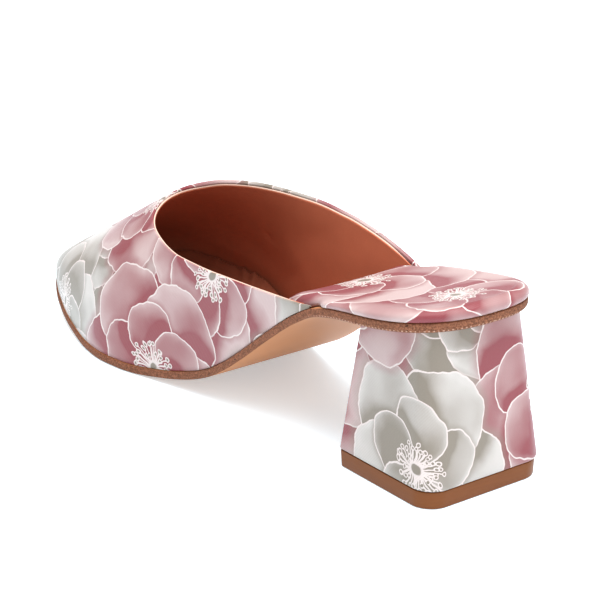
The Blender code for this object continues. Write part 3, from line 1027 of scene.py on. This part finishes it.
def make_lift():
    """The hard lift under the heel, its edges eased, the upper one half as much."""
    rows = [level(heel_spine(LIFT_FOOT), 0.0)]
    rows += eased_edge(LIFT_FOOT, 0.0, LIFT_EDGE)
    rows += eased_edge(LIFT_HEAD, LIFT_HEIGHT, 0.5 * LIFT_EDGE, -1.0)[::-1]
    rows.append(level(heel_spine(LIFT_HEAD), LIFT_HEIGHT))
    piece = add_piece("heel_lift", shell(np.array(rows)), [lift_rubber("lift_rubber")])
    crisp(piece)
    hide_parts("top_lift")


class NodeMaker:
    """Adds nodes to a tree. What feeds a node is a number, a colour or another node's output."""

    def __init__(self, tree):
        self.tree = tree

    def feed(self, socket, value):
        """Link an output to a socket, or set the socket's own value."""
        if isinstance(value, bpy.types.NodeSocket):
            self.tree.links.new(value, socket)
        elif socket.type == "RGBA":
            socket.default_value = (*tuple(value)[:3], 1.0)
        else:
            socket.default_value = value

    def add(self, kind, inputs=None, **settings):
        """A node with its settings and what feeds its named inputs."""
        node = self.tree.nodes.new(kind)
        for name, value in settings.items():
            setattr(node, name, value)
        for name, value in (inputs or {}).items():
            self.feed(node.inputs[name], value)
        return node

    def group(self, tree, inputs):
        """The outputs of a group node. What feeds it is made before it, which keeps the shader small."""
        return self.add("ShaderNodeGroup", inputs, node_tree=tree).outputs

    def step(self, kind, sockets, values, output, **settings):
        """One output of a node whose sockets are fed in turn."""
        return self.add(kind, dict(zip(sockets, values)), **settings).outputs[output]

    def math(self, operation, *values):
        """One step of arithmetic."""
        return self.step("ShaderNodeMath", range(3), values, 0, operation=operation)

    plus = partialmethod(math, "ADD")
    minus = partialmethod(math, "SUBTRACT")
    times = partialmethod(math, "MULTIPLY")
    over = partialmethod(math, "DIVIDE")
    below = partialmethod(math, "LESS_THAN")
    larger = partialmethod(math, "MAXIMUM")

    def vector(self, operation, *values):
        """One step of vector arithmetic."""
        output = "Value" if operation in ("LENGTH", "DOT_PRODUCT") else "Vector"
        return self.step("ShaderNodeVectorMath", range(3), values, output, operation=operation)

    def scale(self, vector, factor):
        """A vector made longer or shorter."""
        return self.step("ShaderNodeVectorMath", (0, "Scale"), (vector, factor), "Vector", operation="SCALE")

    def after(self, vector, colour):
        """The same vector, known only once a colour is. Motifs that wait for each other need less room."""
        return self.vector("MULTIPLY_ADD", colour, (WAIT, WAIT, WAIT), vector)

    def part(self, vector, axis):
        """One part of a vector, 0 to 2. A Separate node would hold room for all three."""
        return self.vector("DOT_PRODUCT", vector, tuple(1.0 if i == axis else 0.0 for i in range(3)))

    def join(self, *parts):
        """A vector of its parts."""
        return self.step("ShaderNodeCombineXYZ", range(3), parts, 0)

    def ease(self, value, low, high, start=0.0, end=1.0):
        """A smooth change from start to end as the value goes from low to high."""
        values = (value, low, high, start, end)
        return self.step("ShaderNodeMapRange", range(5), values, 0, interpolation_type="SMOOTHSTEP")

    def blend(self, *values):
        """A colour between two, by a share."""
        return self.step("ShaderNodeMix", (0, 6, 7), values, 2, data_type="RGBA")

    def choose(self, *values):
        """A number between two, by a share."""
        return self.step("ShaderNodeMix", (0, 2, 3), values, 0, data_type="FLOAT")

    def spin(self, *values):
        """A vector turned by an angle about the cloth's own normal."""
        return self.step("ShaderNodeVectorRotate", ("Vector", "Angle"), values, 0, rotation_type="Z_AXIS")

    def noise(self, vector, scale, detail=2.0, roughness=0.5, output="Fac"):
        """Soft cloudy variation from 0 to 1, as a number or a colour."""
        sockets = ("Vector", "Scale", "Detail", "Roughness")
        return self.step("ShaderNodeTexNoise", sockets, (vector, scale, detail, roughness), output)

    def chance(self, seed):
        """A number from 0 to 1 that is always the same for a seed."""
        return self.step("ShaderNodeTexWhiteNoise", ("W",), (seed,), "Value", noise_dimensions="1D")


VALUE = "NodeSocketFloat"
VECTOR = "NodeSocketVector"
COLOUR = "NodeSocketColor"
PAINT = {COLOUR: "Colour"}
WAIT = 1e-9


def node_group(name, inputs, outputs):
    """A new shader group: its maker, the outputs of its inputs and the inputs of its outputs.

    Its sockets are given as a line of names for each kind.
    """
    tree = bpy.data.node_groups.new(name, "ShaderNodeTree")
    for way, sockets in (("INPUT", inputs), ("OUTPUT", outputs)):
        for kind, names in sockets.items():
            for label in names.split():
                tree.interface.new_socket(name=label, in_out=way, socket_type=kind)
    maker = NodeMaker(tree)
    given = maker.add("NodeGroupInput").outputs
    made = maker.add("NodeGroupOutput").inputs
    return maker, given, made


def petal_tone(n, given, across, chance):
    """How pale a petal is: by the distance from its foot, across it, by chance and with the clouds."""
    distance = n.vector("LENGTH", given["Place"])
    from_foot = n.ease(distance, n.times(chance, FOOT_REACH), FOOT_END)
    from_side = n.ease(across, *SIDE_RANGE)
    tone = n.plus(n.times(from_foot, FOOT_SHARE), n.times(from_side, SIDE_SHARE))
    tone = n.plus(tone, n.times(n.minus(chance, CHANCE_MIDDLE), CHANCE_SHARE))
    return n.plus(tone, given["Cloud"])


def petal_ring_group():
    """A ring of round petals, each lying over the next, drawn about the middle of a bloom."""
    n, given, made = node_group("petal_ring", {
        VECTOR: "Place", VALUE: "Petals Reach Length Width Line Cloud", COLOUR: "Deep Pale Outline Under",
    }, PAINT)
    parts = [n.part(given["Place"], axis) for axis in (0, 1)]
    step = n.over(FULL_TURN, given["Petals"])
    index = n.math("ROUND", n.over(n.math("ARCTAN2", parts[1], parts[0]), step))
    back = n.times(n.times(index, step), -1.0)
    middle = n.join(given["Reach"])
    size = n.join(given["Length"], given["Width"], 1.0)

    def petal(angle):
        local = n.vector("DIVIDE", n.vector("SUBTRACT", n.spin(given["Place"], angle), middle), size)
        return local, n.vector("LENGTH", local)

    own, own_depth = petal(back)
    over, over_depth = petal(n.plus(back, step))
    on_over = n.below(over_depth, 1.0)
    covered = n.larger(on_over, n.below(own_depth, 1.0))
    depth = n.choose(on_over, own_depth, over_depth)
    across = n.choose(on_over, n.part(own, 1), n.part(over, 1))
    number = n.math("FLOORED_MODULO", n.minus(index, on_over), given["Petals"])
    chance = n.chance(n.plus(number, n.times(given["Line"], SEED_SPREAD)))
    tone = petal_tone(n, given, across, chance)
    shade = n.times(n.ease(over_depth, *OVERLAP_SHADE), n.minus(1.0, on_over))
    tone = n.minus(tone, shade)
    tone = n.plus(tone, n.ease(depth, *RIM_LIGHT))
    colour = n.blend(tone, given["Deep"], given["Pale"])
    line = n.ease(depth, n.minus(1.0, n.times(given["Line"], LINE_SOFTNESS)), n.minus(1.0, given["Line"]))
    colour = n.blend(line, colour, given["Outline"])
    cast = n.ease(own_depth, *CAST_SHADE)
    under = n.blend(cast, given["Under"], given["Deep"])
    n.feed(made["Colour"], n.blend(covered, under, colour))
    return n.tree


def stamen_group():
    """The heart of a bloom: fine threads with a seed at the end of each, round a small button."""
    n, given, made = node_group("stamens", {
        VECTOR: "Place", VALUE: "Threads", COLOUR: "Thread Seed Under",
    }, PAINT)
    parts = [n.part(given["Place"], axis) for axis in (0, 1)]
    distance = n.vector("LENGTH", given["Place"])
    turn = n.times(n.math("ARCTAN2", parts[1], parts[0]), 1.0 / FULL_TURN)
    cell = n.times(turn, given["Threads"])
    chance = n.chance(n.math("FLOORED_MODULO", n.math("FLOOR", cell), given["Threads"]))
    reach = n.plus(THREAD_REACH, n.times(chance, THREAD_CHANCE))
    offset = n.minus(n.minus(cell, n.math("FLOOR", cell)), 0.5)
    across = n.times(offset, n.times(n.over(FULL_TURN, given["Threads"]), distance))
    thread = n.times(n.below(n.math("ABSOLUTE", across), THREAD_WIDTH), n.below(distance, reach))
    seed_distance = n.vector("LENGTH", n.join(n.minus(distance, reach), across))
    colour = n.blend(thread, given["Under"], given["Thread"])
    colour = n.blend(n.below(seed_distance, SEED_RING), colour, given["Thread"])
    colour = n.blend(n.below(seed_distance, SEED_SIZE), colour, given["Seed"])
    colour = n.blend(n.below(distance, BUTTON_RING), colour, given["Thread"])
    colour = n.blend(n.ease(distance, *BUTTON_EDGE), colour, given["Seed"])
    n.feed(made["Colour"], colour)
    return n.tree


def motif_place(n, given):
    """Where the cloth lies in a motif that repeats with it, in shares of the motif's size."""
    half = n.scale(given["Repeat"], 0.5)
    place = n.vector("SUBTRACT", given["Cloth"], given["Middle"])
    place = n.vector("WRAP", place, half, n.scale(half, -1.0))
    return n.spin(n.scale(place, n.over(1.0, given["Size"])), given["Turn"])


def bloom_group(ring, stamens):
    """A whole bloom: two rings of petals and its heart, repeated with the cloth."""
    n, given, made = node_group("bloom", {
        VECTOR: "Cloth Repeat Middle", VALUE: "Size Turn Petals Line Cloud",
        COLOUR: "Deep Pale Outline Seed Under",
    }, PAINT)
    place = motif_place(n, given)
    line = n.over(given["Line"], given["Size"])
    colour = given["Under"]
    for reach, petal_length, width, turn in PETAL_RINGS:
        colour = n.group(ring, {
            "Place": n.spin(place, turn), "Petals": given["Petals"], "Reach": reach, "Length": petal_length,
            "Width": width, "Line": n.over(line, petal_length), "Cloud": given["Cloud"],
            "Deep": given["Deep"], "Pale": given["Pale"], "Outline": given["Outline"], "Under": colour,
        })["Colour"]
    for threads, turn in THREAD_RINGS:
        colour = n.group(stamens, {
            "Place": n.spin(place, turn), "Threads": threads, "Thread": given["Outline"],
            "Seed": given["Seed"], "Under": colour,
        })["Colour"]
    n.feed(made["Colour"], colour)
    return n.tree


def leaf_group():
    """A pointed leaf with its midrib and side veins."""
    n, given, made = node_group("leaf", {
        VECTOR: "Cloth Repeat Middle", VALUE: "Size Turn Line", COLOUR: "Deep Pale Outline Under",
    }, PAINT)
    place = motif_place(n, given)
    along, across = (n.part(place, axis) for axis in (0, 1))
    swell = n.larger(n.minus(1.0, n.times(along, along)), 0.0)
    swell = n.times(swell, n.minus(LEAF_WIDTH, n.times(along, LEAF_TAPER)))
    aside = n.math("ABSOLUTE", across)
    room = n.minus(swell, aside)
    line = n.over(given["Line"], given["Size"])
    tone = n.plus(n.ease(along, *LEAF_LENGTH_TONE), n.ease(across, *LEAF_SIDE_TONE))
    tone = n.plus(tone, n.ease(room, *LEAF_RIM_TONE))
    colour = n.blend(tone, given["Deep"], given["Pale"])
    vein = n.math("PINGPONG", n.minus(along, n.times(aside, VEIN_SLANT)), VEIN_PITCH)
    drawn = n.larger(n.below(vein, n.times(line, VEIN_LINE)), n.below(aside, n.times(line, MIDRIB_LINE)))
    drawn = n.larger(drawn, n.below(room, line))
    colour = n.blend(drawn, colour, given["Outline"])
    n.feed(made["Colour"], n.blend(n.math("GREATER_THAN", room, 0.0), given["Under"], colour))
    return n.tree


def floral_group(colours):
    """The whole print: a clouded ground with leaves and blooms laid over one another."""
    n, given, made = node_group("floral_print", {VECTOR: "Cloth"}, PAINT)
    tints = {"rose": (colours.rose, colours.blush), "stone": (colours.stone, colours.chalk)}
    cloth = given["Cloth"]
    for size, reach in WANDER:
        wander = n.noise(cloth, 1.0 / size, CLOUD_DETAIL, output="Color")
        cloth = n.vector("ADD", cloth, n.scale(n.vector("SUBTRACT", wander, NOISE_MIDDLE), reach))
    cloud = n.ease(n.noise(cloth, 1.0 / CLOUD_SIZE, CLOUD_DETAIL), *CLOUD_TONE)
    colour = n.blend(n.plus(cloud, GROUND_TONE), colours.rose, colours.blush)
    bloom = bloom_group(petal_ring_group(), stamen_group())
    leaf = leaf_group()
    motifs = [(leaf, dict(zip(LEAF_COLUMNS, row))) for row in LEAVES]
    motifs += [(bloom, dict(zip(BLOOM_COLUMNS, row))) for row in BLOOMS]
    for group, motif in motifs:
        deep, pale = tints[motif["tint"]]
        inputs = {
            "Cloth": n.after(cloth, colour), "Repeat": (colours.repeat / MM,) * 3,
            "Middle": (motif["across"], motif["along"], 0.0), "Size": motif["size"], "Turn": motif["turn"],
            "Line": LINE_WIDTH, "Deep": deep, "Pale": pale, "Outline": colours.outline, "Under": colour,
        }
        if group is bloom:
            inputs |= {"Petals": motif["petals"], "Cloud": cloud, "Seed": colours.stone}
        colour = n.group(group, inputs)["Colour"]
    n.feed(made["Colour"], colour)
    return n.tree


def weave_group(pitch):
    """Twill lines of the satin, as a height."""
    n, given, made = node_group("satin_weave", {VECTOR: "Cloth"}, {VALUE: "Height"})
    slant = n.vector("DOT_PRODUCT", given["Cloth"], TWILL_SLANT)
    wave = n.math("SINE", n.times(slant, FULL_TURN / pitch))
    fleck = n.noise(given["Cloth"], FLECK_SCALE)
    n.feed(made["Height"], n.plus(n.times(wave, TWILL_HEIGHT), fleck))
    return n.tree


def grain_group():
    """Pores and soft mottling of leather: a height and a tone from 0 to 1."""
    n, given, made = node_group("leather_grain", {VECTOR: "Place"}, {VALUE: "Height Tone"})
    place = given["Place"]
    pores = n.step(
        "ShaderNodeTexVoronoi", ("Vector", "Scale"), (place, PORE_SCALE), "Distance", feature="SMOOTH_F1")
    n.feed(made["Height"], n.plus(pores, n.noise(place, *GRAIN)))
    n.feed(made["Tone"], n.noise(place, *MOTTLE))
    return n.tree


SHARED_GROUPS = {}


def shared_group(name, build, *values):
    """A node group that several materials use, built once."""
    if name not in SHARED_GROUPS:
        SHARED_GROUPS[name] = build(*values)
    return SHARED_GROUPS[name]


def tinted(colour, share):
    """A colour made lighter or darker."""
    return tuple(min(1.0, share * part) for part in colour)


class Finish:
    """A material made from one row of the finishes."""

    def __init__(self, name, kind):
        self.row = dict(zip(FINISH_COLUMNS, FINISHES[kind]))
        self.material = bpy.data.materials.new(name)
        self.material.use_nodes = True
        self.n = NodeMaker(self.material.node_tree)
        self.shader = self.material.node_tree.nodes["Principled BSDF"]
        self.shader.inputs["Roughness"].default_value = self.row["roughness"]
        self.shader.inputs["Specular IOR Level"].default_value = self.row["specular"]

    def own_place(self):
        """Object coordinates in millimetres."""
        return self.n.scale(self.n.add("ShaderNodeTexCoord").outputs["Object"], 1.0 / MM)

    def paint(self, colour):
        """Set what colours the surface."""
        self.n.feed(self.shader.inputs["Base Color"], colour)

    def two_tones(self, share, colour):
        """Vary a colour from the finish's darker tone of it to itself."""
        self.paint(self.n.blend(share, tinted(colour, self.row["dark"]), colour))

    def emboss(self, height):
        """Relief of a height, as deep as the finish has it."""
        bump = self.n.add(
            "ShaderNodeBump",
            {"Height": height, "Distance": self.row["relief"], "Strength": self.row["strength"]})
        self.n.feed(self.shader.inputs["Normal"], bump.outputs["Normal"])


def printed_satin(name, cut):
    """Printed satin, cut from the cloth at one place and turn."""
    colours = bpy.context.scene.mule_print
    look = Finish(name, "satin")
    n = look.n
    across, along, turn = cut
    mapping = n.add(
        "ShaderNodeMapping",
        {"Vector": n.add("ShaderNodeUVMap").outputs["UV"], "Location": (across, along, 0.0),
         "Rotation": (0.0, 0.0, turn), "Scale": (1.0 / MM,) * 3})
    cloth = {"Cloth": mapping.outputs["Vector"]}
    floral = n.group(shared_group("floral", floral_group, colours), cloth)
    weave = n.group(shared_group("weave", weave_group, colours.weave_pitch / MM), cloth)
    shade = n.times(weave["Height"], TWILL_SHADE)
    look.paint(n.blend(shade, floral["Colour"], colours.stone))
    look.emboss(weave["Height"])
    return look.material


def grained(name, kind, colour):
    """Leather or a like face in two tones of a colour, with pores and mottling."""
    look = Finish(name, kind)
    grain = look.n.group(shared_group("grain", grain_group), {"Place": look.own_place()})
    look.two_tones(grain["Tone"], colour)
    look.emboss(grain["Height"])
    return look.material


def lining_leather(name, shade=1.0):
    """Soft lining leather, its colour scaled by a share; the insole's darker copy is painted shade."""
    return grained(name, "lining", tinted(bpy.context.scene.mule_leathers.lining, shade))


def sole_face(name):
    """The smooth underside, with faint cloudy wear."""
    return grained(name, "sole_face", bpy.context.scene.mule_leathers.sole_face)


def cut_edge(name):
    """The pale cut edge of the lining, slightly uneven."""
    look = Finish(name, "cut_edge")
    uneven = look.n.noise(look.own_place(), CUT_EDGE_SCALE)
    look.two_tones(uneven, bpy.context.scene.mule_leathers.lining_edge)
    return look.material


def seat_dots(n, place):
    """A fine row of pale dots low on the sole's edge, round the heel seat."""
    cloth = n.scale(n.add("ShaderNodeUVMap").outputs["UV"], 1.0 / MM)
    wave = n.math("SINE", n.times(n.part(cloth, 0), FULL_TURN / DOT_PITCH))
    ring = n.math("ABSOLUTE", n.minus(n.part(cloth, 1), DOT_RING))
    row = n.ease(ring, *DOT_ROW)
    behind = n.ease(n.part(place, 1), DOT_END - DOT_FADE, DOT_END, 1.0, 0.0)
    uneven = n.plus(wave, n.ease(n.noise(place, *DOT_NOISE), *DOT_UNEVEN))
    return n.times(n.times(n.ease(uneven, *DOT_EDGE), row), behind)


def sole_edge(name):
    """The trimmed edge: pressed board with light and dark crumbs and small pits, with painted shade in them.
    """
    colours = bpy.context.scene.mule_leathers
    look = Finish(name, "sole_edge")
    n = look.n
    place = look.own_place()
    crumb = n.noise(place, *CRUMB)
    pit = n.noise(place, *PIT)
    dark = tinted(colours.sole_edge, look.row["dark"])
    colour = n.blend(n.ease(crumb, *CRUMB_RANGE), dark, tinted(colours.sole_edge, CRUMB_PALE))
    pits = n.ease(pit, *PIT_RANGE)
    # The pits are darkened: painted shade in their hollows
    colour = n.blend(pits, colour, tinted(colours.sole_edge, PIT_PAINTED_SHADE))
    look.paint(n.blend(seat_dots(n, place), colour, colours.seat_dots))
    look.emboss(n.minus(crumb, n.times(pits, PIT_DEPTH)))
    return look.material


def lift_rubber(name):
    """Hard smooth rubber with faint streaks from trimming."""
    look = Finish(name, "lift")
    streak = look.n.noise(look.n.vector("MULTIPLY", look.own_place(), STREAK_SCALES), *STREAK)
    look.two_tones(streak, bpy.context.scene.mule_leathers.lift)
    look.emboss(streak)
    return look.material


def make_floor(stage):
    """The plain pale floor, with a faint light of its own."""
    bm = bmesh.new()
    bmesh.ops.create_grid(bm, x_segments=1, y_segments=1, size=0.5 * FLOOR_SIZE)
    mesh = bpy.data.meshes.new("floor")
    bm.to_mesh(mesh)
    bm.free()
    floor = bpy.data.objects.new("floor", mesh)
    bpy.context.scene.collection.objects.link(floor)
    look = Finish("pale_floor", "floor")
    look.paint(stage.floor)
    look.n.feed(look.shader.inputs["Emission Color"], stage.floor)
    look.shader.inputs["Emission Strength"].default_value = stage.floor_glow
    mesh.materials.append(look.material)


def make_surround(stage):
    """Even white light from all round."""
    world = bpy.data.worlds.new("studio")
    world.use_nodes = True
    background = world.node_tree.nodes["Background"]
    background.inputs["Color"].default_value = WHITE
    background.inputs["Strength"].default_value = stage.surround
    bpy.context.scene.world = world


def stand(name, data, place, aim):
    """Put a light or a camera at a place, pointed at another."""
    thing = bpy.data.objects.new(name, data)
    bpy.context.scene.collection.objects.link(thing)
    thing.location = place
    thing.rotation_mode = "QUATERNION"
    thing.rotation_quaternion = (Vector(aim) - Vector(place)).to_track_quat("-Z", "Y")
    return thing


def add_light(name, power, size, place, aim):
    """A square soft light that points at a place."""
    light = bpy.data.lights.new(name, "AREA")
    light.energy = power
    light.size = size
    stand(name, light, place, aim)


def make_camera(stage):
    """The camera at the picture's angle, and plain colours in the picture."""
    camera = bpy.data.cameras.new("camera")
    camera.lens = stage.lens
    camera.sensor_width = SENSOR_WIDTH
    camera.shift_x = stage.shift
    camera.clip_start = CLIP_START
    bpy.context.scene.camera = stand("camera", camera, stage.eye, stage.aim)
    bpy.context.scene.view_settings.view_transform = "Standard"


class MULE_OT_upper(bpy.types.Operator):
    """Make the printed upper, its lining and the bead along the lining's edge"""

    bl_idname = "mule.upper"
    bl_label = "Upper"

    def execute(self, context):
        make_upper(context.scene.mule_sizes)
        return {"FINISHED"}


class MULE_OT_footbed(bpy.types.Operator):
    """Make the brown insole and the printed seat pad"""

    bl_idname = "mule.footbed"
    bl_label = "Footbed"

    def execute(self, context):
        # The insole is a darker copy of the lining leather: painted shade for the shadow under the upper
        leather = lining_leather("insole_leather", SOCK_PAINTED_SHADE)
        make_footbed_part("insole_leather", "insole", True, [leather])
        satin = printed_satin("seat_satin", SEAT_CUT)
        make_footbed_part("seat_cover", "seat_pad", False, [satin])
        return {"FINISHED"}


class MULE_OT_sole(bpy.types.Operator):
    """Make the sole with its smooth face and rough edge"""

    bl_idname = "mule.sole"
    bl_label = "Sole"

    def execute(self, context):
        make_sole()
        return {"FINISHED"}


class MULE_OT_heel(bpy.types.Operator):
    """Make the covered heel and the lift under it"""

    bl_idname = "mule.heel"
    bl_label = "Heel"

    def execute(self, context):
        make_heel_block()
        make_lift()
        return {"FINISHED"}


class MULE_OT_stage(bpy.types.Operator):
    """Make the floor, the light and the camera"""

    bl_idname = "mule.stage"
    bl_label = "Stage"

    def execute(self, context):
        stage = context.scene.mule_stage
        make_floor(stage)
        make_surround(stage)
        for name, size, place, aim in LAMPS:
            add_light(name, getattr(stage, name), size, place, aim)
        make_camera(stage)
        return {"FINISHED"}


class MULE_PT_panel(bpy.types.Panel):
    """Lists the makers of the shoe's pieces"""

    bl_label = "Block heel mule"
    bl_space_type = "VIEW_3D"
    bl_region_type = "UI"
    bl_category = "Mule"

    def draw(self, context):
        for operator in OPERATORS:
            self.layout.operator(operator.bl_idname)
        for name in SETTINGS:
            group = getattr(context.scene, name)
            column = self.layout.column(heading=name)
            for key in group.__annotations__:
                column.prop(group, key)


SETTINGS = {
    "mule_sizes": MuleSizes,
    "mule_print": MulePrint,
    "mule_leathers": MuleLeathers,
    "mule_stage": MuleStage,
}
OPERATORS = (MULE_OT_stage, MULE_OT_sole, MULE_OT_heel, MULE_OT_footbed, MULE_OT_upper)
CLASSES = (*SETTINGS.values(), *OPERATORS, MULE_PT_panel)


def register():
    for item in CLASSES:
        bpy.utils.register_class(item)
    for name, group in SETTINGS.items():
        setattr(bpy.types.Scene, name, PointerProperty(type=group))


def unregister():
    for name in SETTINGS:
        delattr(bpy.types.Scene, name)
    for item in reversed(CLASSES):
        bpy.utils.unregister_class(item)


def main():
    register()
    bpy.ops.mule.stage()
    bpy.ops.mule.sole()
    bpy.ops.mule.heel()
    bpy.ops.mule.footbed()
    bpy.ops.mule.upper()


if __name__ == "__main__":
    main()
